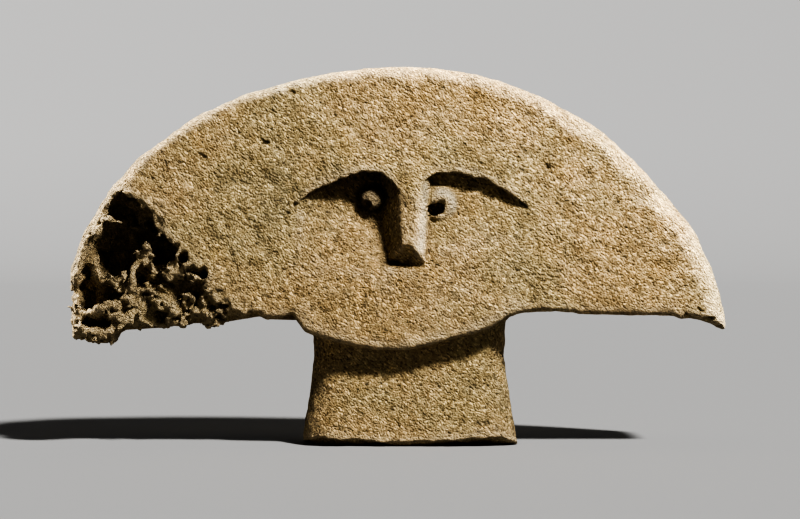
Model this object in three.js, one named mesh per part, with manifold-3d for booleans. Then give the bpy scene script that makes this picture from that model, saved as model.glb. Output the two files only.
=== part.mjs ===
// The head of a prehistoric standing-stone figure, broken from its body and standing on the break.
// It is one block of sandstone: a half-moon slab on a short flared neck. The face is a brow and a
// nose that share one T, left standing where the cheeks were cut back, with two pellets for eyes.
// The left tip has burst off, and the neck ends in the rough break.
//
// Millimetres, +Z up. The face looks along -Y and +X is to the right of someone facing it.
// The origin is on the ground, at the middle of the box around the stone.
import * as THREE from "three";
import { mergeVertices } from "three/addons/utils/BufferGeometryUtils.js";
import Module from "manifold-3d";

const wasm = await Module();
wasm.setup();

// ---- driving sizes -------------------------------------------------------------------------
// The half-moon: its rim is half an ellipse, a little uneven, as it was dressed by hand.
const RIM = { x: -6, z: 78, halfWidth: 286, height: 244 };
const RIM_START = 4.6; // degrees, at the right tip
const RIM_END = 170.5; // degrees, at the left tip
// How far the rim swells or falls short of that ellipse, as [degrees, mm].
const RIM_SWELL = [
  [0, 1.8], [12, 1.2], [36, -2.4], [64, 1], [84, 2.2], [103, -1.8], [142, 2.4], [156, 1], [180, -12],
];

// The lower edge: a wing to each side, and the chin hanging below them in the middle.
const WING_RIGHT = { z: 116, slope: -0.04, tipDrop: 12, tipLength: 30 };
const WING_LEFT = { z: 113, slope: 0.14, tipDrop: -16, tipLength: 26 };
const CHIN = {
  x: -4, z: 82.5, depth: 31,
  halfRight: 102, halfLeft: 81, powerRight: 1.7, powerLeft: 2.6,
};
const EDGE_RAGGED = 1; // how uneven the lower edge is

// The slab in depth: a shallow cushion, fullest in the middle, with rounded edges.
const SLAB = { front: 60, back: 70.5, crown: 0.17, frontRound: 20, backRound: 28 };
const SPINE = { z: 172, halfLength: 165 }; // the line that its faces rise towards

// The neck, from the break to where it is lost in the slab.
const NECK = {
  x: 12, top: 150, waist: 72,
  footHalfWidth: 92, waistHalfWidth: 81,
  footFront: 44, waistFront: 37, footBack: 54, waistBack: 48,
  squareness: 3.1,
};

// The face, on its own middle line. The left cheek is cut back about twice as deep as the right.
const FACE_X = 11;
const BROW = { archX: 33, archZ: 153, radius: 80, halfWidth: 104, depthLeft: 30, depthRight: 13.5 };
const CHEEK = { height: 98, fadeFrom: 44, downFade: 1.3 };

// The nose: the half widths of its front at the brow and how much they narrow to the tip, the bevel
// down its right side, how its left side slopes back, and the chip under its tip.
const NOSE = {
  tipZ: 160, topZ: 246, rise: 14.5, root: -24,
  halfRight: 9.6, narrowRight: 3.2, halfLeft: 10.2, narrowLeft: 4.5,
  bevel: 7.8, slopeLeft: 0.55,
  chipZ: 172.5, chipFall: 0.85, chipUndercut: 0.85,
};

// The pellet eyes, each with the depth of its middle and how far it stands forward of that. The
// right one has a hollow pecked into it.
const EYES = [
  { away: -31, z: 210, radius: 9.4, forward: 9.4, depth: 20.5 },
  { away: 27, z: 205, radius: 15.5, forward: 13.5, depth: 13.5 },
];
const EYE_HOLLOW = { away: 23.5, z: 202, radius: 7.4, depth: 12 };

// The burst tip: rows of hollows down the left end, as the row's upper and lower place on the
// front, how many hollows, how wide they are and how deep they go.
const BURST = [
  { from: [-230, 206], to: [-152, 110], hollows: 7, radius: 24, depth: 24 },
  { from: [-250, 184], to: [-196, 104], hollows: 5, radius: 31, depth: 34 },
  { from: [-268, 142], to: [-240, 98], hollows: 3, radius: 24, depth: 28 },
];

const OUTSIDE = 130; // a plane well in front of the stone
const SEED = 11;

// ---- small tools ---------------------------------------------------------------------------
const rad = THREE.MathUtils.degToRad;
const lerp = THREE.MathUtils.lerp;
const clamp01 = (value) => THREE.MathUtils.clamp(value, 0, 1);

// A repeatable number from 0 to 1 for each whole number.
function chance(number) {
  const wave = Math.sin((number + SEED) * 127.1) * 43758.5453;
  return wave - Math.floor(wave);
}

// Any closed mesh as a manifold solid.
function solid(geometry) {
  const bare = geometry.clone();
  bare.deleteAttribute("normal");
  bare.deleteAttribute("uv");
  const merged = mergeVertices(bare, 1e-3);
  return new wasm.Manifold(new wasm.Mesh({
    numProp: 3,
    vertProperties: merged.attributes.position.array,
    triVerts: new Uint32Array(merged.index.array),
  }));
}

// A manifold solid as a three.js geometry.
function geometryOf(made) {
  const mesh = made.getMesh();
  const geometry = new THREE.BufferGeometry();
  geometry.setAttribute("position", new THREE.BufferAttribute(mesh.vertProperties, 3));
  geometry.setIndex(new THREE.BufferAttribute(mesh.triVerts, 1));
  geometry.computeVertexNormals();
  return geometry;
}

// A closed skin through rings of equal count, with a cap of the given triangles at each end.
function skin(rings, capTriangles) {
  const count = rings[0].length;
  const last = (rings.length - 1) * count;
  const index = [];
  for (let ring = 0; ring + 1 < rings.length; ring++) {
    for (let step = 0; step < count; step++) {
      const next = (step + 1) % count;
      const a = ring * count + step;
      const b = ring * count + next;
      index.push(a, b, b + count, a, b + count, a + count);
    }
  }
  for (const [a, b, c] of capTriangles) {
    index.push(c, b, a);
    index.push(last + a, last + b, last + c);
  }
  const geometry = new THREE.BufferGeometry().setFromPoints(rings.flat());
  geometry.setIndex(index);
  return geometry;
}

// The triangles of a flat cap.
function flatCap(points) {
  return THREE.ShapeUtils.triangulateShape(points, []);
}

// The triangles that join the two sides of a long narrow ring, from one end to the other.
function narrowCap(ring) {
  const triangles = [];
  let near = 0;
  let far = ring.length;
  while (far - near > 2) {
    if (ring[near + 1].x > ring[far - 1].x) {
      triangles.push([far % ring.length, near, near + 1]);
      near += 1;
    } else {
      triangles.push([far % ring.length, near, far - 1]);
      far -= 1;
    }
  }
  triangles.push([far % ring.length, near, near + 1]);
  return triangles;
}

// ---- the half-moon slab --------------------------------------------------------------------
function rimSwell(degrees) {
  const next = RIM_SWELL.findIndex(([at]) => at > degrees);
  const [[fromAt, from], [toAt, to]] = [RIM_SWELL[next - 1], RIM_SWELL[next]];
  return lerp(from, to, THREE.MathUtils.smoothstep(degrees, fromAt, toAt));
}

function rimPoint(degrees) {
  const grow = 1 + rimSwell(degrees) / RIM.halfWidth;
  return new THREE.Vector2(
    RIM.x + RIM.halfWidth * grow * Math.cos(rad(degrees)),
    RIM.z + RIM.height * grow * Math.sin(rad(degrees)),
  );
}

const RIGHT_TIP = rimPoint(RIM_START);
const LEFT_TIP = rimPoint(RIM_END);

// The height of a wing's lower edge, and of the chin where it hangs lower.
function lowerEdge(x) {
  const right = x > CHIN.x;
  const wing = right ? WING_RIGHT : WING_LEFT;
  const toTip = right ? RIGHT_TIP.x - x : x - LEFT_TIP.x;
  const bend = clamp01(1 - toTip / wing.tipLength) ** 2;
  const away = x - CHIN.x - (right ? CHIN.halfRight : -CHIN.halfLeft);
  const wingZ = wing.z + wing.slope * away - wing.tipDrop * bend;
  const share = Math.abs(x - CHIN.x) / (right ? CHIN.halfRight : CHIN.halfLeft);
  const chinZ = CHIN.z + CHIN.depth * share ** (right ? CHIN.powerRight : CHIN.powerLeft);
  const ragged = Math.sin(x / 15) + 0.7 * Math.sin(x / 8.1 + 2);
  return Math.min(wingZ, chinZ) + EDGE_RAGGED * ragged;
}

// The front outline, anticlockwise from the right tip over the rim and back along the lower edge.
function outline(rimSteps, edgeSteps) {
  const points = [];
  for (let step = 0; step < rimSteps; step++) {
    points.push(rimPoint(lerp(RIM_START, RIM_END, step / rimSteps)));
  }
  for (let step = 0; step < edgeSteps; step++) {
    const x = lerp(LEFT_TIP.x, RIGHT_TIP.x, step / edgeSteps);
    points.push(new THREE.Vector2(x, step === 0 ? LEFT_TIP.y : lowerEdge(x)));
  }
  return points;
}

// How full the slab is at a place on its face: 1 in the middle, less towards the rim.
function fullness(x, z) {
  const across = (x - RIM.x) / RIM.halfWidth;
  const up = (z - SPINE.z) / (RIM.z + RIM.height - SPINE.z);
  return 1 - SLAB.crown * Math.min(1, across ** 2 + 0.5 * up ** 2);
}

const frontOf = (x, z) => -SLAB.front * fullness(x, z);

// The slab as rings of the outline, from the middle of its back out to the rim and in to the front.
function slab() {
  const edge = outline(84, 64);
  const towards = edge.map((point) => {
    const reach = THREE.MathUtils.clamp(point.x - RIM.x, -SPINE.halfLength, SPINE.halfLength);
    return new THREE.Vector2(RIM.x + reach, SPINE.z).sub(point);
  });
  const rings = [];
  const ring = (drawnIn, side, setBack) => rings.push(edge.map((point, i) => {
    const place = point.clone().addScaledVector(towards[i], drawnIn(towards[i].length()));
    const depth = (side < 0 ? SLAB.front : SLAB.back) * fullness(place.x, place.y) - setBack;
    return new THREE.Vector3(place.x, side * depth, place.y);
  }));
  const flat = [0.93, 0.7, 0.45]; // shares of the way in to the spine
  const turns = [90, 66, 44, 22, 0]; // degrees round the rounded edge
  const roundedEdge = (side, radius, order) => order.forEach((turn) => {
    const inset = radius * (1 - Math.cos(rad(turn)));
    const setBack = radius * (1 - Math.sin(rad(turn)));
    ring((length) => Math.min(0.4, inset / length), side, setBack);
  });
  flat.forEach((share) => ring(() => share, 1, 0));
  roundedEdge(1, SLAB.backRound, turns);
  roundedEdge(-1, SLAB.frontRound, [...turns].reverse());
  [...flat].reverse().forEach((share) => ring(() => share, -1, 0));

  return skin(rings, narrowCap(rings[0]));
}

// ---- the neck ------------------------------------------------------------------------------
function neck() {
  const sides = 44;
  const levels = [0, 18, 36, 54, 72, 96, NECK.top];
  const rings = levels.map((z) => {
    const flare = clamp01(1 - z / NECK.waist) ** 1.3;
    const halfWidth = lerp(NECK.waistHalfWidth, NECK.footHalfWidth, flare);
    const front = lerp(NECK.waistFront, NECK.footFront, flare);
    const back = lerp(NECK.waistBack, NECK.footBack, flare);
    return Array.from({ length: sides }, (_, side) => {
      const turn = (2 * Math.PI * side) / sides;
      const power = 2 / NECK.squareness;
      const across = Math.sign(Math.cos(turn)) * Math.abs(Math.cos(turn)) ** power;
      const along = Math.sign(Math.sin(turn)) * Math.abs(Math.sin(turn)) ** power;
      return new THREE.Vector3(
        NECK.x + halfWidth * across,
        along * (along < 0 ? front : back),
        z,
      );
    });
  });
  return skin(rings, flatCap(rings[0]));
}

// ---- the face ------------------------------------------------------------------------------
// The brow line's height, by the distance from the middle of the face.
function browZ(away) {
  const fromArch = Math.min(Math.abs(away - BROW.archX), BROW.radius * 0.95);
  return BROW.archZ + Math.sqrt(BROW.radius ** 2 - fromArch ** 2);
}

// How deep the cheeks are cut back: most under the brow, fading out to the sides and the chin.
function cheekDepth(across, below) {
  const onRight = THREE.MathUtils.smoothstep(across, -8, 8);
  const side = 1 - THREE.MathUtils.smoothstep(Math.abs(across), CHEEK.fadeFrom, BROW.halfWidth);
  const down = clamp01(1 - below / CHEEK.height) ** CHEEK.downFade;
  return lerp(BROW.depthLeft, BROW.depthRight, onRight) * side * down;
}

// What the mason took away under the brow: a box whose far side is bent to the cheeks.
function cheekCut() {
  const cut = new THREE.BoxGeometry(2, 1, 1, 32, 1, 12);
  const place = cut.attributes.position;
  const clear = 1; // mm that it ends in front of the stone, all round
  for (let i = 0; i < place.count; i++) {
    const across = BROW.halfWidth * place.getX(i);
    const below = CHEEK.height * (0.5 - place.getZ(i));
    const x = FACE_X + across;
    const z = browZ(Math.abs(across)) - below;
    const floor = frontOf(x, z) + cheekDepth(across, below) - clear;
    place.setXYZ(i, x, place.getY(i) > 0 ? floor : -OUTSIDE, z);
  }
  return cut;
}

// The nose's outline seen from above at one height, from its root on the right to the one on the
// left, with how far each point is behind the front.
function noseOutline(z) {
  const down = clamp01((NOSE.topZ - z) / (NOSE.topZ - NOSE.tipZ));
  const front = frontOf(FACE_X, z) - NOSE.rise * down ** 1.1 + 1;
  const right = NOSE.halfRight - NOSE.narrowRight * down;
  const left = NOSE.halfLeft - NOSE.narrowLeft * down ** 1.5;
  return [
    [right + NOSE.bevel + 2, NOSE.root],
    [right + NOSE.bevel, front + NOSE.bevel],
    [right + 0.5, front + 0.7],
    [right - 1.2, front],
    [1.4 - left, front],
    [-left - 0.4, front + 1.4],
    [-left - NOSE.slopeLeft * (NOSE.root - front), NOSE.root],
  ].map(([across, y]) => ({ across, y, behind: y - front }));
}

// The nose: a straight ridge from the brow, lifting to a tip that is chipped to a slant beneath.
function nose() {
  const levels = [NOSE.chipZ, 178, 188, 198, 208, 218, 228, 237, NOSE.topZ];
  const rings = levels.map((level, number) => noseOutline(level).map(({ across, y, behind }) => {
    const chip = NOSE.chipFall * Math.max(0, across) + NOSE.chipUndercut * Math.min(behind, 22);
    return new THREE.Vector3(FACE_X + across, y, number === 0 ? level - chip : level);
  }).reverse());
  return skin(rings, flatCap(rings[0]));
}

// One pellet eye, tucked under the brow against the nose.
function eye({ away, z, radius, forward, depth }) {
  const x = FACE_X + away;
  const pellet = new THREE.SphereGeometry(radius, 18, 12);
  pellet.scale(1, forward / radius, 1);
  pellet.translate(x, frontOf(x, z) + depth, z);
  return pellet;
}

// The hollow in the right eye.
function eyeHollow() {
  const x = FACE_X + EYE_HOLLOW.away;
  const floor = frontOf(x, EYE_HOLLOW.z) + EYE_HOLLOW.depth;
  const length = OUTSIDE + floor;
  const bore = new THREE.CylinderGeometry(EYE_HOLLOW.radius, EYE_HOLLOW.radius, length, 16);
  bore.translate(x, floor - length / 2, EYE_HOLLOW.z);
  return bore;
}

// ---- breaks and chips ----------------------------------------------------------------------
// A knobbly lump, to take out of the stone.
function lump(x, y, z, width, depth, height, seed) {
  const knob = new THREE.IcosahedronGeometry(1, 2);
  const place = knob.attributes.position;
  const point = new THREE.Vector3();
  for (let i = 0; i < place.count; i++) {
    point.fromBufferAttribute(place, i);
    const wave = Math.sin(3.1 * point.x + seed) + Math.sin(3.7 * point.y + 2 * seed)
      + Math.sin(4.3 * point.z + 3 * seed);
    point.multiplyScalar(1 + 0.07 * wave);
    place.setXYZ(i, x + width * point.x, y + depth * point.y, z + height * point.z);
  }
  return knob;
}

// The burst at the left tip, shallower towards the lower edge.
function burst() {
  return BURST.flatMap((row, rowNumber) => Array.from({ length: row.hollows }, (_, i) => {
    const number = 10 * rowNumber + i;
    const down = i / (row.hollows - 1);
    const x = lerp(row.from[0], row.to[0], down) + 10 * (chance(number) - 0.5);
    const z = lerp(row.from[1], row.to[1], down);
    const radius = row.radius * (0.8 + 0.4 * chance(number + 50));
    const depth = row.depth * (1 - 0.45 * down);
    return lump(x, frontOf(x, z) - 5, z, radius, depth, radius * 0.8, number);
  }));
}

// Chips along the foot of the neck and at the right tip, as [x, y, z, size].
function chips() {
  const foot = NECK.footFront;
  return [
    [NECK.x - 64, -foot, -5, 22],
    [NECK.x + 62, -foot, -6, 19],
    [NECK.x + 20, NECK.footBack, -5, 24],
    [RIGHT_TIP.x - 30, -SLAB.front + 6, 104, 13],
    [RIGHT_TIP.x - 12, -SLAB.front + 14, 98, 11],
  ].map(([x, y, z, size], i) => lump(x, y, z, size * 1.4, size * 0.7, size * 0.6, i));
}

// ---- the stone -----------------------------------------------------------------------------
function stone() {
  let made = solid(slab()).add(solid(neck()));
  made = made.subtract(solid(cheekCut()));
  for (const piece of [nose(), ...EYES.map(eye)]) made = made.add(solid(piece));
  for (const piece of [eyeHollow(), ...burst(), ...chips()]) made = made.subtract(solid(piece));
  return made;
}

const sandstone = new THREE.MeshStandardMaterial({
  color: new THREE.Color(0.62, 0.51, 0.37),
  roughness: 0.95,
  metalness: 0,
});

const head = new THREE.Mesh(geometryOf(stone()), sandstone);
head.name = "stone_head";

const figure = new THREE.Group();
figure.add(head);

export default figure;
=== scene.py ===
import itertools
import math

import bmesh
import bpy
import numpy as np
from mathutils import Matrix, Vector


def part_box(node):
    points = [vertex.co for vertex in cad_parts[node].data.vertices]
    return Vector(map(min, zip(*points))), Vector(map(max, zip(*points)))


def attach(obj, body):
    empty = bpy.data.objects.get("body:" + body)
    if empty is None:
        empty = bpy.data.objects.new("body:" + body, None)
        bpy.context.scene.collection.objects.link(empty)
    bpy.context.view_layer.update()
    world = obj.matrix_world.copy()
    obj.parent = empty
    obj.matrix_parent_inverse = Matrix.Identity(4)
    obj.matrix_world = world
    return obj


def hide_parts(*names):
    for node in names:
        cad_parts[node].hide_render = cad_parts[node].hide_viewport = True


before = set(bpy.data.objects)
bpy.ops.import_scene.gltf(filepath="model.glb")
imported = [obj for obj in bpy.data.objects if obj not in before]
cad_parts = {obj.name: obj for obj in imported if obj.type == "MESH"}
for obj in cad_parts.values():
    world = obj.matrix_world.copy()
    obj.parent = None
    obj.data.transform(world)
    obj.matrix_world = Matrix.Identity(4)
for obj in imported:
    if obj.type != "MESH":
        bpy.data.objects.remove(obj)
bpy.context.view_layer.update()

# ---- The stone head --------------------------------------------------------------------------
# The head of a standing-stone figure: one block of coarse tan sandstone, a half-moon slab on a
# short flared neck. It was roughed out and then pecked all over with a stone hammer. The brow and
# nose are left standing in one T, where the cheeks were pecked back, with two pellets for eyes.
# One tip has burst and crumbled away since, and the neck ends in the break from the body.

low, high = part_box("stone_head")
left, front, ground = (1000 * side for side in low)  # in millimetres, up to the finished mesh
right, back, top = (1000 * side for side in high)
middle = (left + right) / 2
face_middle = middle + 11

# The stone is first worked out as a field: how far each place in the block is from the surface,
# in millimetres, less than nothing inside the stone.
step = 1.5
start = np.array([left, front, ground]) - 3 * step
steps = np.ceil((np.array([right, back, top]) + 3 * step - start) / step).astype(int)
x, y, z = np.ogrid[: steps[0], : steps[1], : steps[2]]
x = (start[0] + step * x).astype(np.float32)
y = (start[1] + step * y).astype(np.float32)
z = (start[2] + step * z).astype(np.float32)


def meet(one, other, radius):
    """Where both hold, with the corner between them rounded over."""
    both = np.minimum(np.maximum(one, other) + radius, 0)
    return both + np.hypot(np.maximum(one + radius, 0), np.maximum(other + radius, 0)) - radius


def join(one, other, radius):
    """Where either holds, with the corner between them filled."""
    return -meet(-one, -other, radius)


def ease(value, start_at, end_at):
    """From 0 to 1 between two values, gently at both ends."""
    share = np.clip((value - start_at) / (end_at - start_at), 0, 1)
    return share * share * (3 - 2 * share)


def waves(place, size, seed):
    """Smooth random waves from -1 to 1, each about `size` millimetres long."""
    table = np.random.default_rng(seed).uniform(-1, 1, (32, 32, 32)).astype(np.float32)
    cells, parts = [], []
    for along in place:
        along = np.asarray(along, np.float32) / size + 500
        cells.append(np.floor(along).astype(np.int32))
        parts.append(ease(along - cells[-1], 0, 1))
    total = 0
    for corner in itertools.product((0, 1), repeat=3):
        share = 1
        for part, end in zip(parts, corner):
            share = share * (part if end else 1 - part)
        i, j, k = ((cell + end) & 31 for cell, end in zip(cells, corner))
        total = total + share * table[i, j, k]
    return total


# The half-moon: a rim that is half an ellipse, a little uneven, with well rounded edges. The front
# edge is rounded less along the top and the upper left.
rim_x, rim_z = middle - 6, ground + 78
rim_half_width, rim_height = 286, 244
across = (x - rim_x) / rim_half_width
upward = (z - rim_z) / rim_height
ring = np.hypot(across, upward)
spread = np.hypot(across / rim_half_width, upward / rim_height) / np.maximum(ring, 0.05)
turn = np.degrees(np.arctan2(upward, across))
swell = np.interp(
    turn,
    [0, 6, 14, 20, 26, 32, 42, 50, 62, 74, 82, 90, 100, 110, 118, 130, 138, 146, 154, 162, 167,
     172, 180],
    [0.5, 0.8, 1, -0.6, -1.4, -2.6, -2.6, -1.3, -0.3, 0, 0.2, -1, -3.2, -2.3, -1.2, -0.2, 0.9, 1.4,
     -0.4, -2.8, -7.5, -13, -16],
).astype(np.float32)
swell += 0.5 * waves((14 * turn, 0, 0), 90, 1) + 0.4 * waves((14 * turn, 0, 0), 33, 2)
rim = (ring - 1) / spread - swell

front_depth, back_depth, crown = 60, 68, 0.17
spine = ground + 172


def fullness(at_x, at_z):
    """How full the slab is at a place on its face: 1 in the middle and less towards the rim."""
    out = ((at_x - rim_x) / rim_half_width) ** 2 + 0.5 * ((at_z - spine) / (top - spine)) ** 2
    return 1 - crown * np.minimum(1, out)


face = -y - front_depth * fullness(x, z)
rear = y - back_depth * fullness(x, z)
rounding = np.interp(turn, [50, 78, 100, 134, 146], [17, 12, 9, 9, 17]).astype(np.float32)
slab = meet(rim, face, rounding + 2 * waves((x, 0 * y, z), 80, 3))
slab = meet(slab, rear, 27)

# The lower edge, from the burst left tip past the chin to the right tip that hooks down.
edge_at = [
    -285, -272, -262, -240, -233, -222, -205, -179, -150, -138, -118, -108, -87, -81, -76, -56,
    -36, -15, 2, 15, 36, 66, 77, 87, 97, 110, 130, 160, 220, 251, 264, 272, 278, 285,
]  # fmt: skip
edge_height = [
    106, 92, 88.5, 88, 99, 100, 98, 103, 102.5, 106, 113, 109.5, 112, 105, 97.5, 90.5,
    86, 82.8, 82.4, 83.7, 89.5, 97, 100.5, 106, 113, 115.5, 116, 113.5, 112.7, 109.5, 106.5, 103,
    97.3, 92,
]  # fmt: skip
edge = np.interp(x.ravel() - middle, edge_at, edge_height).astype(np.float32)
edge += 0.8 * waves((x.ravel(), 0, 0), 11, 4) + 0.5 * waves((x.ravel(), 0, 0), 5, 5)
spell = int(50 / step)
plainer = np.convolve(np.pad(edge, spell, mode="edge"), np.ones(2 * spell + 1), "same")
plainer = plainer[spell:-spell] / (2 * spell + 1)
edge, plainer = edge[:, None, None], plainer[:, None, None]
inward = ease(y, -45, 40)
under = ground + edge + (plainer - edge) * 0.75 * inward - z
under = under / np.sqrt(1 + np.gradient(plainer, step, axis=0) ** 2)
slab = meet(slab, under, 6)

# The neck: a flat-fronted stump that flares to its foot, well behind the chin.
neck_aside, neck_corner, flare_height, neck_top = 12, 27, 72, 150
flare = (1 - np.clip((z - ground) / flare_height, 0, 1)) ** 1.2
neck_half_width, neck_front, neck_back = 81 + 11 * flare, 37 + 7 * flare, 48 + 6 * flare
neck = meet(
    np.abs(x - middle - neck_aside) - neck_half_width,
    np.maximum(-y - neck_front, y - neck_back),
    neck_corner,
)
neck = np.maximum(neck, z - ground - neck_top)
stone = join(slab, neck, 7)

# The face: the cheeks are cut back under a sharp brow, more than twice as deep on the left, and
# come out flush at the sides, at the chin and in a step under the nose.
brow_half_width, nose_foot = 106, 156
face_x = (x - face_middle).ravel()
away = np.abs(x - face_middle)
on_left = 1 - ease(x - face_middle, -8, 8)
brow_at = [
    -104, -95, -87, -75, -64, -49, -37, -30, -22, -15, -9, 10, 18, 24, 37, 48, 60, 68, 75, 82, 90,
    98, 104,
]  # fmt: skip
brow_height = [
    194, 204, 212, 220.5, 225, 230.5, 234, 234.5, 232.5, 226, 217, 225, 227.5, 231, 232, 230.8,
    227.5, 224.5, 221.5, 217, 212, 205, 199,
]  # fmt: skip
brow_line = ground + np.interp(face_x, brow_at, brow_height)[:, None, None]
depth_at = [-104, -92, -80, -66, -48, -30, -10, 10, 34, 54, 64, 75, 83, 92, 103]
brow_depth = np.interp(
    face_x, depth_at, [0, 1.5, 12, 24, 31, 35, 35, 13.5, 13.5, 12.5, 11, 10.5, 9.5, 6, 0]
)[:, None, None]
below = brow_line - z
cheek_length = 82 + 22 * on_left - 0.45 * away
cheek_bend = 1.3 + 0.5 * on_left * (1 - ease(away, 25, 55))
cheek = 1 - np.clip(below / cheek_length, 0, 1) ** cheek_bend
cheek = cheek * (1 - 0.8 * ease(ground + nose_foot - z, 0, 4) * (1 - ease(away, 12, 38)))
cheek_floor = -front_depth * fullness(x, z) + brow_depth * cheek
lip = 0.12 * (y + front_depth)
ragged = 0.9 * waves((x, y, z), 7, 6) + 0.7 * waves((x, y, z), 17, 7)
ragged = ragged + 1.3 * waves((x, y, z), 3.4, 8)
cut = np.maximum(y - cheek_floor, z - brow_line - lip - ragged)
cut = np.maximum(cut, away - brow_half_width)
stone = meet(stone, -cut, 1.5)

# The nose: a straight ridge, flush with the brow and lifting to its tip. It rolls over to its left
# and has a bevel down its right side. The tip is chipped off to a slant underneath.
nose_tip, nose_top, nose_rise, nose_root = ground + 160, ground + 246, 12, 25
down = np.clip((nose_top - z) / (nose_top - nose_tip), 0, 1)
nose_face = front_depth * fullness(face_middle, z) + nose_rise * down**1.1 - 1
behind = y + nose_face
bevel = 9.6 - 3.2 * down + 0.95 * np.clip(behind, 0, 8) + 0.1 * np.clip(behind - 8, 0, 22)
flank = 7.5 - 3.6 * down**1.5 + 0.58 * np.clip(behind - 2, 0, 28)
rolled = 0.022 * np.clip(face_middle + 7 - x, 0, 17) ** 2 * ease(ground + 226 - z, 0, 24)
nose = meet((away - bevel - on_left * (flank - bevel)) * 0.85, rolled - behind, 2.2)
chipped = np.interp(
    face_x, [-12, -8.4, -5.2, 0, 5.8, 11, 16], [177, 175.5, 173.5, 173.5, 167.5, 164.5, 164]
)[:, None, None]
chipped = chipped - 0.85 * np.clip(behind, 0, 22) + 0.8 * waves((x, y, z), 6, 8)
nose = meet(nose, (ground + chipped - z) * 0.75, 0.8)
nose = np.maximum(nose, np.maximum(y + nose_root, z - nose_top))
stone = join(stone, nose, 2)

# The eyes: two pellets tucked under the brow against the nose, each with a hollow in it.
for eye_x, eye_z, eye_radius, forward, socket, hollow_x, hollow_z, hollow_radius in [
    (-31, 210, 9.6, 9.6, 20.5, -35, 205, 3.2),
    (27, 205, 15.5, 13.5, 13.5, 23.5, 202, 7),
]:
    eye_floor = socket - front_depth * fullness(face_middle + eye_x, ground + eye_z)
    pellet = np.sqrt(
        (x - face_middle - eye_x) ** 2
        + ((y - eye_floor) * eye_radius / forward) ** 2
        + (z - ground - eye_z) ** 2
    )
    stone = join(stone, pellet - eye_radius - 0.7 * waves((x, y, z), 7, 9), 1.2)
    pupil = np.hypot(x - face_middle - hollow_x, z - ground - hollow_z) - 0.08 * (eye_floor - y)
    pupil = pupil + 0.14 * hollow_radius * (
        2.2 * waves((x, y, z), 8, 47) + 1.8 * waves((x, y, z), 4.5, 48)
    )
    pupil = meet(pupil - hollow_radius, y - eye_floor - 0.12 * forward, 1.5)
    stone = meet(stone, -np.maximum(pupil, eye_floor - forward - 4 - y), 0.8)

# The burst tip. The stone has come away to the left of a ragged line, and deep hollows have
# weathered into it: each one's place on the face, half its width, half its height, its depth.
burst_foot = [100, 108, 124, 137, 156, 175, 205, 215, 222]
burst_side = [-128, -133, -149, -167, -184, -201, -212, -231, -300]
hollows = [
    (-229, 203, 11, 13, 40), (-219, 190, 11, 11, 44), (-240, 206, 5, 7, 22),
    (-210, 181, 10, 12, 42), (-196, 165, 12, 12, 40), (-240, 166, 17, 18, 50),
    (-222, 172, 10, 9, 46), (-259, 176, 5, 8, 18), (-264, 136, 13, 18, 44),
    (-241, 130, 12, 8, 34), (-213, 144, 6, 5, 26), (-201, 140, 7, 7, 26),
    (-182, 135, 8, 6, 22), (-166, 144, 8, 4, 20), (-167, 130, 5, 6, 18),
    (-210, 126, 4, 2.5, 12), (-193, 127, 5, 4, 14), (-216, 102, 19, 5, 24),
    (-203, 111, 8, 4, 18), (-168, 109, 4, 4, 14), (-147, 108, 5, 2.5, 12),
    (-146, 118, 4, 3, 12), (-178, 155, 5, 5, 16), (-251, 104, 11, 4, 26),
    (-267, 167, 2.5, 3, 12), (-155, 123, 3, 3, 9),
]  # fmt: skip


def crumbled(at_x, at_z):
    """1 where the face has crumbled away, 0 where it is sound."""
    side = middle + np.interp(at_z - ground, burst_foot, burst_side)
    return 1 - ease(at_x, side - 12, side + 12)


flat_x, flat_z = np.broadcast_arrays(x[:, 0], z[:, 0])
crumble = crumbled(flat_x, flat_z)[:, None, :].astype(np.float32)
sound_rim = ease(z - ground, 128, 146) * (1 - ease(-rim, 5, 10))
deepest_hollow = 50
near = (stone < 12) & (stone > -deepest_hollow)
near &= (x < middle - 88) & (z < ground + 240) & (y < 25)
spot = [np.broadcast_to(along, stone.shape)[near] for along in (x, y, z)]
bent = [along + 6 * waves(spot, 20, 10 + n) + 5 * waves(spot, 9, 20 + n)
        + 2.4 * waves(spot, 4.5, 24 + n) for n, along in enumerate(spot)]  # fmt: skip
hole = np.full(len(spot[0]), 99, np.float32)
face_here = -front_depth * fullness(spot[0], spot[2])
deep = np.maximum(bent[1] - face_here, 0)
undercut = 1 + 0.02 * np.minimum(deep, 16)
for hole_x, hole_z, half_width, half_height, depth in hollows:
    out = np.hypot(
        (bent[0] - middle - hole_x) / half_width, (bent[2] - ground - hole_z) / half_height
    )
    narrowing = np.sqrt(np.maximum(1 - (deep / depth) ** 4, 0))
    reach = (out - undercut * narrowing) * min(half_width, half_height)
    hole = np.minimum(hole, np.maximum(reach, deep - depth))

# What is left between the hollows is lumpy, and grit has come off the sound face beside them. On
# the left the rim has kept its skin.
lumps = 3.6 * waves(spot, 13, 30) + 3.4 * waves(spot, 6.5, 31) + 3.0 * waves(spot, 3.6, 32)
lumps += 12 * np.maximum(waves(spot, 5.5, 33) - 0.22, 0)
worn = crumble * ease(-y, -22, 18) * (1 - sound_rim)
worn = np.broadcast_to(worn, stone.shape)[near]
keep_rim = np.broadcast_to(sound_rim, stone.shape)[near]
side = middle + np.interp(spot[2] - ground, burst_foot, burst_side)
loosened = (1 - ease(spot[0], side - 2, side + 38)) * ease(-spot[1], -10, 25)
loosened = loosened * (1 - 0.6 * keep_rim)
grit = 1.5 * waves(spot, 4.4, 34) + 1.3 * waves(spot, 2.8, 35)
grit += 8 * np.maximum(waves(spot, 5, 36) - 0.36, 0)
shape = stone[near] + worn * (2.6 + lumps) + loosened * grit
rim_skin = 12
stone[near] = meet(shape, -rim_skin * keep_rim - hole, 0.8)

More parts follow.
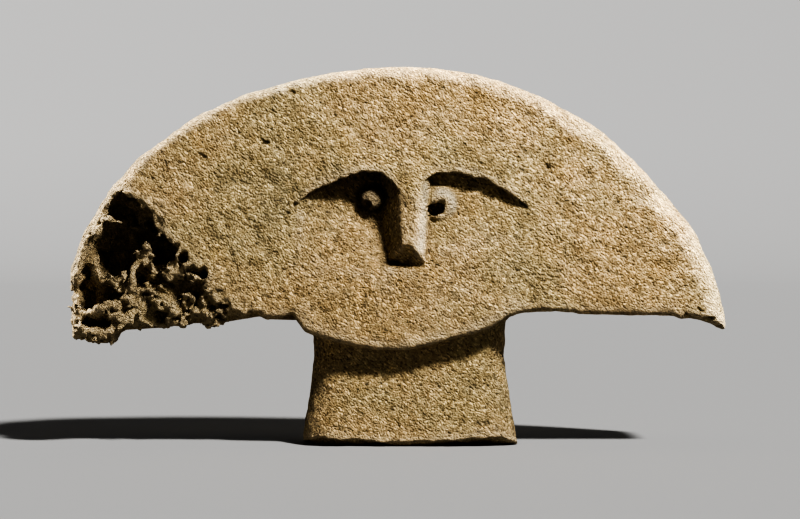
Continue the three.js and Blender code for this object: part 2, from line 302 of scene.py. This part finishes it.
# Small chips and pits, on the right tip and over the face: each one's place, and its radius. They
# lie aslant, as the beds of the stone do.
pits = [
    (246, 113, 3.5), (257, 117, 3.2), (265, 108, 4), (272, 104, 3), (231, 113, 2.6),
    (208, 113, 2.5), (-109, 257, 3.2), (-164, 246, 2), (-59, 261, 2.4), (-86, 300, 2.6),
    (140, 226, 2.2), (128, 236, 2.2), (-83, 203, 3.2), (-90, 198, 2.4), (106, 208, 3.2),
]  # fmt: skip
for pit_x, pit_z, pit_radius in pits:
    reach = int(3 * pit_radius / step) + 2
    i = int((middle + pit_x - start[0]) / step)
    k = int((ground + pit_z - start[2]) / step)
    part = np.s_[max(i - reach, 0) : i + reach, :, max(k - reach, 0) : k + reach]
    column = stone[i, :, k]
    pit_y = start[1] + step * int(np.argmax(column < 0)) - 0.1 * pit_radius
    block_of = np.broadcast_arrays(x[part[0]], y, z[:, :, part[2]])
    wobble = [1.1 * pit_radius * waves(block_of, 1.6 * pit_radius, 60 + n) for n in range(2)]
    pit_across, pit_up = block_of[0] - middle - pit_x, block_of[2] - ground - pit_z
    along = 0.79 * pit_across - 0.62 * pit_up
    athwart = 0.62 * pit_across + 0.79 * pit_up
    bowl = np.sqrt(
        (0.65 * (along + wobble[0])) ** 2 + (1.1 * (athwart + wobble[1])) ** 2
        + (1.1 * (block_of[1] - pit_y)) ** 2
    )  # fmt: skip
    stone[part] = meet(stone[part], pit_radius - bowl, 0.8)

# The break at the foot: level on the whole, with some of it broken higher.
foot = np.stack(np.broadcast_arrays(x[:, :, 0], y[:, :, 0], 0 * x[:, :, 0]))
sole = 2.2 * waves(foot, 38, 40) + 1.6 * waves(foot, 15, 41) + 0.8 * waves(foot, 6, 42)
sole += 3 * ease(neck[:, :, 8], -14, 0) - 1.2
broken_at = [-84, -74, -63, -42, -14, 14, 36, 65, 86, 104]
broken_height = [0, 4, 7.5, 7.5, 3, 0, 0, 6, 5, 2]
front_chips = np.interp((x - middle).ravel(), broken_at, broken_height)
sole += front_chips[:, None] * ease(-y[:, :, 0], 14, 40)
sole = np.clip(sole, 0, 9)[:, :, None]
stone = meet(stone, ground + sole - z, 1.2)

# Hand work all over: long shallow waves from the roughing out, and the lesser ones of dressing.
near = np.abs(stone) < 9
spot = [np.broadcast_to(along, stone.shape)[near] for along in (x, y, z)]
stone[near] += 1.1 * waves(spot, 62, 50) + 0.9 * waves(spot, 24, 51) + 0.7 * waves(spot, 11, 52)
stone = np.maximum(stone, ground - z)

# How far each place stands out of its surroundings, for wear and for painted shade in the hollows.
blur = stone.copy()
surroundings = 9
spread_steps = int(surroundings / step)
for axis in range(3):
    total = np.cumsum(np.pad(blur, [(spread_steps + 1, spread_steps) if a == axis else (0, 0)
                                    for a in range(3)], mode="edge"), axis=axis)  # fmt: skip
    ahead = np.take(total, range(2 * spread_steps + 1, total.shape[axis]), axis=axis)
    behind_it = np.take(total, range(0, total.shape[axis] - 2 * spread_steps - 1), axis=axis)
    blur = (ahead - behind_it) / (2 * spread_steps + 1)

# The surface: one point in each cell that the field changes sign in, one face across each edge.
solid = stone < 0
cell_shape = tuple(n - 1 for n in stone.shape)
corners = np.zeros(cell_shape, np.uint8)
for i, j, k in itertools.product((0, 1), repeat=3):
    corners += solid[i : i + cell_shape[0], j : j + cell_shape[1], k : k + cell_shape[2]]
crossed = (corners > 0) & (corners < 8)
number = np.full(cell_shape, -1, np.int32)
number[crossed] = np.arange(np.count_nonzero(crossed))
cells = np.argwhere(crossed)
total = np.zeros((len(cells), 3))
hits = np.zeros(len(cells))
for axis in range(3):
    sideways = [n for n in range(3) if n != axis]
    for offset in itertools.product((0, 1), repeat=2):
        near_end = cells.copy()
        near_end[:, sideways] += offset
        far_end = near_end.copy()
        far_end[:, axis] += 1
        here = stone[tuple(near_end.T)]
        there = stone[tuple(far_end.T)]
        change = (here < 0) != (there < 0)
        point = near_end.astype(float)
        point[change, axis] += here[change] / (here[change] - there[change])
        total[change] += point[change]
        hits += change
grid_points = total / hits[:, None]


def field_at(at):
    """The field between its grid points."""
    low_corner = np.clip(np.floor(at).astype(int), 0, np.array(stone.shape) - 2)
    between = at - low_corner
    value = 0
    for corner in itertools.product((0, 1), repeat=3):
        weight = np.prod(np.where(corner, between, 1 - between), axis=1)
        value = value + weight * stone[tuple((low_corner + corner).T)]
    return value


for _ in range(2):
    slope = np.stack(
        [field_at(grid_points + half) - field_at(grid_points - half) for half in 0.5 * np.eye(3)],
        axis=1,
    )
    move = field_at(grid_points) / np.maximum((slope**2).sum(axis=1), 0.2 * step**2)
    grid_points -= np.clip(move[:, None] * slope, -0.4, 0.4)
faces = []
for axis in range(3):
    one, other = [n for n in range(3) if n != axis]
    if axis == 1:
        one, other = other, one
    near_end = np.take(solid, range(stone.shape[axis] - 1), axis=axis)
    far_end = np.take(solid, range(1, stone.shape[axis]), axis=axis)
    at = np.argwhere(near_end != far_end)
    outward = near_end[tuple(at.T)]
    corner = []
    for back_one, back_other in ((0, 0), (1, 0), (1, 1), (0, 1)):
        cell = at.copy()
        cell[:, one] -= back_one
        cell[:, other] -= back_other
        corner.append(number[tuple(cell.T)])
    ringed = np.stack(corner, axis=1)
    ringed[~outward] = ringed[~outward, ::-1]
    faces.append(ringed)
faces = np.concatenate(faces)
points = start + step * grid_points

place = np.clip(np.round(grid_points).astype(int), 0, np.array(stone.shape) - 1)
outstanding = blur[tuple(place.T)] - stone[tuple(place.T)]
burst_from = middle + np.interp(points[:, 2] - ground, burst_foot, burst_side)
burst = (1 - ease(points[:, 0], burst_from - 8, burst_from + 38)) * ease(-points[:, 1], -20, 20)
burst = np.maximum(burst, 0.7 * (1 - ease(points[:, 2] - ground, 3, 9)))

# Painted shade on the left eye's pellet, deep in its socket, and darker marks over the left
# brow: a streak near its end and a band along its top. A painted highlight: pale down the nose's
# bevel and in a crescent on the right eye.
along_face, up_face = points[:, 0] - face_middle, points[:, 2] - ground
face_slope = points[:, 1] + front_depth * fullness(points[:, 0], points[:, 2])
# Painted shade: the left pellet and its socket, darker the deeper they lie.
painted_eye_shade = ease(face_slope, 5, 13) * (
    1 - ease(np.hypot(along_face + 31, up_face - 210), 11, 16)
)
# Darker in a short streak near the left brow's outer end.
streak = np.abs(0.58 * (along_face + 98) + 0.81 * (up_face - 218))
darker_left_marks = (1 - ease(streak, 3, 9)) * ease(along_face, -122, -106) * (
    1 - ease(along_face, -92, -80)
)
# Darker in a band along the top of the left brow.
over_brow = up_face - np.interp(along_face, brow_at, brow_height)
darker_left_marks = np.maximum(darker_left_marks, 0.75 * ease(over_brow, -4, 1) * (1 - ease(over_brow, 6, 26)) * (
    ease(along_face, -100, -84) * (1 - ease(along_face, -62, -30))))  # fmt: skip
darker_left_marks *= points[:, 1] < -30
# Painted highlight: a pale crescent on the right eye's upper right.
from_eye = np.hypot(along_face - 27, up_face - 205)
painted_highlight = ease(from_eye, 6, 10) * (1 - ease(from_eye, 11, 16)) * ease(
    along_face - 27 + 0.6 * (up_face - 205), -4, 9
)
# Painted highlight: a pale strip down the nose's right bevel.
bevel_at = along_face - np.interp(up_face, [160, 225], [10, 14.5])
painted_highlight = np.maximum(painted_highlight, (1 - ease(np.abs(bevel_at), 0.5, 5)) * ease(up_face, 160, 172)
                    * (1 - ease(up_face, 218, 232)))  # fmt: skip
painted_highlight *= points[:, 1] < 0

block = bpy.data.meshes.new("stone_block")
block.from_pydata(0.001 * points, [], faces.tolist())
block.validate()
for name, amount in [
    ("outstanding", outstanding), ("burst", burst), ("painted_eye_shade", painted_eye_shade),
    ("darker_left_marks", darker_left_marks), ("painted_highlight", painted_highlight),
]:  # fmt: skip
    block.attributes.new(name, "FLOAT", "POINT").data.foreach_set(
        "value", amount.astype(np.float32)
    )
stone_head = bpy.data.objects.new("stone_head_carved", block)
bpy.context.scene.collection.objects.link(stone_head)

# Sandstone: sand grains from buff to brown with pale quartz and dark iron, cemented in faint beds
# of ochre and grey. Painted shade darkens the hollows, the low places of the relief and the left
# eye, a painted highlight pales the nose's bevel and the right eye, and the burst tip is fresher.
sandstone = bpy.data.materials.new("pecked_sandstone")
sandstone.use_nodes = True
tree = sandstone.node_tree
nodes, links = tree.nodes, tree.links
shader = nodes["Principled BSDF"]
shader.inputs["Metallic"].default_value = 0
shader.inputs["Specular IOR Level"].default_value = 0.25
where = nodes.new("ShaderNodeTexCoord").outputs["Object"]
bedded = nodes.new("ShaderNodeMapping")  # the grains lie along the bed, which dips to the right
bedded.vector_type = "TEXTURE"
bedded.inputs["Rotation"].default_value = (0, math.radians(44), 0)
bedded.inputs["Scale"].default_value = (1.5, 1, 1)
links.new(where, bedded.inputs["Vector"])
along_bed = bedded.outputs["Vector"]


def noise_of(size, detail, roughness, seed, place=where):
    """A soft random pattern with patches of the given size in metres."""
    noise = nodes.new("ShaderNodeTexNoise")
    noise.noise_dimensions = "4D"
    noise.inputs["W"].default_value = seed
    noise.inputs["Scale"].default_value = 1 / size
    noise.inputs["Detail"].default_value = detail
    noise.inputs["Roughness"].default_value = roughness
    links.new(place, noise.inputs["Vector"])
    return noise.outputs["Fac"]


def grains_of(size):
    """Packed grains of the given size in metres: how far from each one's middle, and an amount that
    differs from grain to grain."""
    packed = nodes.new("ShaderNodeTexVoronoi")
    packed.inputs["Scale"].default_value = 1 / size
    links.new(along_bed, packed.inputs["Vector"])
    own = nodes.new("ShaderNodeSeparateColor")
    links.new(packed.outputs["Color"], own.inputs["Color"])
    return packed.outputs["Distance"], own.outputs["Red"]


def shades(amount, stops):
    """Colours along a range, as (place, colour)."""
    ramp = nodes.new("ShaderNodeValToRGB")
    while len(ramp.color_ramp.elements) < len(stops):
        ramp.color_ramp.elements.new(0.5)
    for element, (at_share, colour) in zip(ramp.color_ramp.elements, stops):
        element.position = at_share
        element.color = (*colour, 1)
    links.new(amount, ramp.inputs["Fac"])
    return ramp.outputs["Color"]


def mixed(one, other, amount, how="MIX"):
    """Two colours mixed by an amount, which may be a number or a pattern."""
    mix = nodes.new("ShaderNodeMix")
    mix.data_type = "RGBA"
    mix.blend_type = how
    for socket, value in ((mix.inputs[6], one), (mix.inputs[7], other), (mix.inputs[0], amount)):
        if isinstance(value, bpy.types.NodeSocket):
            links.new(value, socket)
        else:
            socket.default_value = value
    return mix.outputs[2]


def ranged(amount, from_low, from_high, to_low, to_high):
    """An amount moved from one range to another, and kept inside it."""
    move = nodes.new("ShaderNodeMapRange")
    for name, value in (("From Min", from_low), ("From Max", from_high),
                        ("To Min", to_low), ("To Max", to_high)):  # fmt: skip
        move.inputs[name].default_value = value
    links.new(amount, move.inputs["Value"])
    return move.outputs["Result"]


def summed(one, other, how="ADD"):
    """Two amounts put together."""
    maths = nodes.new("ShaderNodeMath")
    maths.operation = how
    for socket, value in zip(maths.inputs, (one, other)):
        if isinstance(value, bpy.types.NodeSocket):
            links.new(value, socket)
        else:
            socket.default_value = value
    return maths.outputs[0]


def carried(name):
    """An amount that the mesh carries at each point."""
    attribute = nodes.new("ShaderNodeAttribute")
    attribute.attribute_name = name
    return attribute.outputs["Fac"]


beds = shades(
    noise_of(0.11, 3, 0.55, 3),
    [
        (0.30, (0.312, 0.250, 0.132)),
        (0.45, (0.405, 0.306, 0.150)),
        (0.55, (0.445, 0.318, 0.156)),
        (0.68, (0.405, 0.280, 0.127)),
    ],
)
stain = shades(
    noise_of(0.026, 4, 0.6, 7),
    [(0.35, (0.72, 0.68, 0.60)), (0.52, (1, 1, 1)), (0.70, (1.0, 0.93, 0.80))],
)
colour = mixed(beds, stain, 0.85, "MULTIPLY")

small_middle, small_tone = grains_of(0.0014)
large_middle, large_tone = grains_of(0.0034)
speckle = shades(
    small_tone,
    [
        (0.0, (0.26, 0.22, 0.17)),
        (0.16, (0.68, 0.64, 0.57)),
        (0.45, (0.95, 0.94, 0.92)),
        (0.80, (1.12, 1.12, 1.10)),
        (0.97, (2.0, 2.0, 2.0)),
    ],
)
colour = mixed(colour, speckle, 0.9, "MULTIPLY")
fine = noise_of(0.0018, 3, 0.7, 11, along_bed)
medium = noise_of(0.0058, 2, 0.6, 13, along_bed)
broad = noise_of(0.0170, 2, 0.5, 17, along_bed)
# Painted shade: one grain in ten darkened as the socket of a lost grain.
painted_socket_shade = ranged(large_tone, 0.0, 0.10, 1, 0)
colour = mixed(colour, (0.06, 0.048, 0.028, 1), summed(painted_socket_shade, 0.5, "MULTIPLY"))
# Painted shade: darker in the low places of the medium bumps.
painted_pit_shade = ranged(medium, 0.30, 0.44, 1, 0)
colour = mixed(colour, (0.09, 0.075, 0.042, 1), summed(painted_pit_shade, 0.3, "MULTIPLY"))
# Painted shade: darker in the low places of the fine bumps.
hollow = ranged(fine, 0.25, 0.45, 0.5, 0)
colour = mixed(colour, (0.085, 0.068, 0.038, 1), hollow)
# Painted shade: darker where the surface lies below its surroundings.
painted_cavity_shade = ranged(carried("outstanding"), -3.5, -0.3, 0.5, 0)
colour = mixed(colour, (0.13, 0.09, 0.05, 1), painted_cavity_shade)
wear = ranged(carried("outstanding"), 0.6, 3.0, 0, 0.35)
colour = mixed(colour, (0.58, 0.46, 0.30, 1), wear)
# Darker, in blotches, over the left brow's streak and band.
blotch = ranged(noise_of(0.0045, 3, 0.65, 19, along_bed), 0.36, 0.58, 1, 0.1)
blotch = summed(blotch, summed(carried("darker_left_marks"), 0.85, "MULTIPLY"), "MULTIPLY")
colour = mixed(colour, (0.085, 0.07, 0.035, 1), blotch)
colour = mixed(colour, (0.43, 0.33, 0.18, 1), summed(carried("burst"), 0.45, "MULTIPLY"))
# Painted shade on the left eye's pellet.
colour = mixed(colour, (0.08, 0.06, 0.035, 1), summed(carried("painted_eye_shade"), 0.62, "MULTIPLY"))
# Painted highlight on the nose's bevel and the right eye.
colour = mixed(colour, (0.66, 0.57, 0.41, 1), summed(carried("painted_highlight"), 0.4, "MULTIPLY"))
# Painted shade: darker in the low places of the crumbly relief on the burst.
crumb = noise_of(0.0048, 3, 0.75, 23)
painted_crumb_shade = summed(ranged(crumb, 0.36, 0.47, 0.8, 0), carried("burst"), "MULTIPLY")
colour = mixed(colour, (0.07, 0.055, 0.03, 1), painted_crumb_shade)
links.new(colour, shader.inputs["Base Color"])
links.new(ranged(medium, 0.3, 0.7, 0.82, 0.98), shader.inputs["Roughness"])

relief = summed(fine, 0.014, "MULTIPLY")
for amount, tall in (
    (small_middle, -0.005),
    (large_middle, -0.0012),
    (medium, 0.006),
    (broad, 0.03),
):
    relief = summed(relief, summed(amount, tall, "MULTIPLY"))
crumbs_relief = summed(summed(crumb, carried("burst"), "MULTIPLY"), 0.02, "MULTIPLY")
relief = summed(relief, crumbs_relief)
bump = nodes.new("ShaderNodeBump")
bump.inputs["Strength"].default_value = 1
bump.inputs["Distance"].default_value = 1
links.new(relief, bump.inputs["Height"])
links.new(bump.outputs["Normal"], shader.inputs["Normal"])

# Pecking: the dents of the stone hammer over the whole surface, and the sand grains that stand
# out of it since the weather took the cement.
pecking = bpy.data.node_groups.new("pecking", "GeometryNodeTree")
socket_ids = {}
for name, kind in (
    ("Stone", "NodeSocketGeometry"),
    ("Peck width", "NodeSocketFloat"),
    ("Peck depth", "NodeSocketFloat"),
    ("Grain width", "NodeSocketFloat"),
    ("Grain depth", "NodeSocketFloat"),
    ("Seed", "NodeSocketFloat"),
    ("Finish", "NodeSocketMaterial"),
):
    item = pecking.interface.new_socket(name, in_out="INPUT", socket_type=kind)
    socket_ids[name] = item.identifier
pecking.interface.new_socket("Pecked stone", in_out="OUTPUT", socket_type="NodeSocketGeometry")
given = pecking.nodes.new("NodeGroupInput")
result = pecking.nodes.new("NodeGroupOutput")
peck_link = pecking.links.new


def peck_math(how, one, other=None):
    """One step of arithmetic in the pecking tree."""
    maths = pecking.nodes.new("ShaderNodeMath")
    maths.operation = how
    for socket, value in zip(maths.inputs, (one, other)):
        if isinstance(value, bpy.types.NodeSocket):
            peck_link(value, socket)
        elif value is not None:
            socket.default_value = value
    return maths.outputs[0]


spot_node = pecking.nodes.new("GeometryNodeInputPosition")
dents = pecking.nodes.new("ShaderNodeTexVoronoi")
dents.voronoi_dimensions = "4D"
dents.feature = "SMOOTH_F1"
dents.inputs["Smoothness"].default_value = 0.25
grains = pecking.nodes.new("ShaderNodeTexNoise")
grains.noise_dimensions = "4D"
grains.inputs["Detail"].default_value = 2
for texture, width in ((dents, "Peck width"), (grains, "Grain width")):
    peck_link(spot_node.outputs[0], texture.inputs["Vector"])
    peck_link(given.outputs["Seed"], texture.inputs["W"])
    peck_link(peck_math("DIVIDE", 1.0, given.outputs[width]), texture.inputs["Scale"])
dish = peck_math("SUBTRACT", dents.outputs["Distance"], 0.45)
height = peck_math("MULTIPLY", dish, given.outputs["Peck depth"])
grain = peck_math("SUBTRACT", grains.outputs["Fac"], 0.5)
height = peck_math("ADD", height, peck_math("MULTIPLY", grain, given.outputs["Grain depth"]))
scaled = pecking.nodes.new("ShaderNodeVectorMath")
scaled.operation = "SCALE"
peck_link(pecking.nodes.new("GeometryNodeInputNormal").outputs[0], scaled.inputs["Vector"])
peck_link(height, scaled.inputs["Scale"])
moved_out = pecking.nodes.new("GeometryNodeSetPosition")
peck_link(given.outputs["Stone"], moved_out.inputs["Geometry"])
peck_link(scaled.outputs["Vector"], moved_out.inputs["Offset"])
real = pecking.nodes.new("GeometryNodeRealizeInstances")
peck_link(moved_out.outputs["Geometry"], real.inputs["Geometry"])
finished = pecking.nodes.new("GeometryNodeSetMaterial")
peck_link(real.outputs["Geometry"], finished.inputs["Geometry"])
peck_link(given.outputs["Finish"], finished.inputs["Material"])
peck_link(finished.outputs["Geometry"], result.inputs[0])

work = stone_head.modifiers.new("pecking", "NODES")
work.node_group = pecking
for name, value in (
    ("Peck width", 0.0085),
    ("Peck depth", 0.0011),
    ("Grain width", 0.0042),
    ("Grain depth", 0.0009),
    ("Seed", 4.0),
    ("Finish", sandstone),
):
    work[socket_ids[name]] = value
seen = stone_head.evaluated_get(bpy.context.evaluated_depsgraph_get())
dressed = bpy.data.meshes.new_from_object(seen, depsgraph=bpy.context.evaluated_depsgraph_get())
stone_head.modifiers.remove(work)
stone_head.data = dressed

# Crumbs that came loose from the burst are brushed off, and the plain back and underside are
# left with larger faces than the carved and burst front.
fewest_points, most_triangles = 5000, 196000
crumbs = bmesh.new()
crumbs.from_mesh(dressed)
found = set()
for seed_point in crumbs.verts:
    if seed_point not in found:
        lump, waiting = [], [seed_point]
        found.add(seed_point)
        while waiting:
            point = waiting.pop()
            lump.append(point)
            for joined in point.link_edges:
                beyond = joined.other_vert(point)
                if beyond not in found:
                    found.add(beyond)
                    waiting.append(beyond)
        if len(lump) < fewest_points:
            bmesh.ops.delete(crumbs, geom=lump, context="VERTS")
crumbs.to_mesh(dressed)
crumbs.free()
place = np.empty(3 * len(dressed.vertices), np.float32)
dressed.vertices.foreach_get("co", place)
place = 1000 * place.reshape(-1, 3)
plain = stone_head.vertex_groups.new(name="plain")
share = np.round(8 * ease(place[:, 1], -45, 25)) / 8
for amount in np.unique(share):
    plain.add(np.flatnonzero(share == amount).tolist(), float(amount), "REPLACE")
fewer = stone_head.modifiers.new("fewer", "DECIMATE")
fewer.ratio = most_triangles / sum(len(each.vertices) - 2 for each in dressed.polygons)
fewer.vertex_group = "plain"
fewer.vertex_group_factor = 0.6
seen = stone_head.evaluated_get(bpy.context.evaluated_depsgraph_get())
thinned = bpy.data.meshes.new_from_object(seen, depsgraph=bpy.context.evaluated_depsgraph_get())
stone_head.modifiers.remove(fewer)
stone_head.data = thinned
stone_head.vertex_groups.clear()
place = np.empty(3 * len(thinned.vertices), np.float32)
thinned.vertices.foreach_get("co", place)
place[2::3] = np.maximum(place[2::3], 0.001 * ground)
thinned.vertices.foreach_set("co", place)
thinned.shade_smooth()
thinned.update()

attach(stone_head, "root")
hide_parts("stone_head")

# ---- The floor -------------------------------------------------------------------------------
# A plain floor of painted board under the head's broken neck. Far away all round it is bent up
# into a slope, so that no line shows behind the stone. The slope is gentler than the sun's light,
# and so it throws no shadow on the floor.
floor_radius, sweep_radius, slope_angle, slope_length = 5.5, 3.2, math.radians(30), 6.0
rings, sectors = 16, 96
profile = [(1.0, 0.0), (floor_radius, 0.0)]
for ring_number in range(1, rings + 1):
    bend = slope_angle * ring_number / rings
    profile.append(
        (floor_radius + sweep_radius * math.sin(bend), sweep_radius * (1 - math.cos(bend)))
    )
profile.append((
    profile[-1][0] + slope_length * math.cos(slope_angle),
    profile[-1][1] + slope_length * math.sin(slope_angle),
))
floor_points = [(0.0, 0.0, 0.0)]
floor_faces = []
for ring_number, (ring_radius, ring_height) in enumerate(profile):
    for sector in range(sectors):
        angle = 2 * math.pi * sector / sectors
        floor_points.append(
            (ring_radius * math.cos(angle), ring_radius * math.sin(angle), ring_height)
        )
        following = (sector + 1) % sectors
        outer = 1 + ring_number * sectors
        inner = outer - sectors
        if ring_number == 0:
            floor_faces.append((0, outer + sector, outer + following))
        else:
            floor_faces.append(
                (inner + sector, outer + sector, outer + following, inner + following)
            )
floor_mesh = bpy.data.meshes.new("floor")
floor_mesh.from_pydata(floor_points, [], floor_faces)
floor_mesh.shade_smooth()
floor = bpy.data.objects.new("floor", floor_mesh)
floor.location.z = 0.001 * ground
bpy.context.scene.collection.objects.link(floor)
floor_paint = bpy.data.materials.new("floor_paint")
floor_paint.use_nodes = True
floor_shader = floor_paint.node_tree.nodes["Principled BSDF"]
floor_shader.inputs["Base Color"].default_value = (0.17, 0.168, 0.164, 1)
floor_shader.inputs["Roughness"].default_value = 0.9
floor_mesh.materials.append(floor_paint)

# ---- Light and camera ------------------------------------------------------------------------
# A key lamp near the stone at the upper right, and a lamp on each side for the rim. They are kept
# off the floor, which has a soft sun of its own from the key's side, so that the floor doesn't
# throw their light back up into the carved hollows.
room = bpy.data.worlds.new("room")
room.use_nodes = True
room.node_tree.nodes["Background"].inputs["Color"].default_value = (0.92, 0.93, 0.95, 1)
room.node_tree.nodes["Background"].inputs["Strength"].default_value = 0.12
bpy.context.scene.world = room
aim = Vector((0.001 * middle, 0, 0.001 * ground + 0.16))
for name, kind, turn_degrees, lift_degrees, distance, size, strength, on_floor in (
    ("key", "AREA", 38, 43, 1.35, 0.22, 49, "EXCLUDE"),
    ("floor_key", "SUN", 38, 43, 2.0, 0.11, 9, "INCLUDE"),
    ("right_rim", "AREA", 93, 36, 1.9, 0.35, 210, "EXCLUDE"),
    ("left_rim", "AREA", -104, 40, 1.9, 0.35, 190, "EXCLUDE"),
):
    lamp = bpy.data.lights.new(name, kind)
    lamp.energy = strength
    if kind == "SUN":
        lamp.angle = size
    else:
        lamp.shape = "DISK"
        lamp.size = size
    light = bpy.data.objects.new(name, lamp)
    turned, lifted = math.radians(turn_degrees), math.radians(lift_degrees)
    towards = Vector(
        (
            math.sin(turned) * math.cos(lifted),
            -math.cos(turned) * math.cos(lifted),
            math.sin(lifted),
        )
    )
    light.location = aim + distance * towards
    light.rotation_euler = towards.to_track_quat("Z", "Y").to_euler()
    bpy.context.scene.collection.objects.link(light)
    lit = bpy.data.collections.new(name + " on the floor")
    lit.objects.link(floor)
    lit.collection_objects[0].light_linking.link_state = on_floor
    light.light_linking.receiver_collection = lit

lens = bpy.data.cameras.new("camera")
lens.lens = 131.8
camera = bpy.data.objects.new("camera", lens)
camera_aside, camera_distance, camera_height, looked_at_height = 0.0037, 2.52, 0.2, 0.158
camera.location = (
    0.001 * middle + camera_aside, -camera_distance, 0.001 * ground + camera_height
)  # fmt: skip
looked_at = Vector((0.001 * middle + camera_aside, 0, 0.001 * ground + looked_at_height))
camera.rotation_euler = (looked_at - camera.location).to_track_quat("-Z", "Y").to_euler()
bpy.context.scene.collection.objects.link(camera)
bpy.context.scene.camera = camera

bpy.context.scene.view_settings.look = "AgX - Very High Contrast"
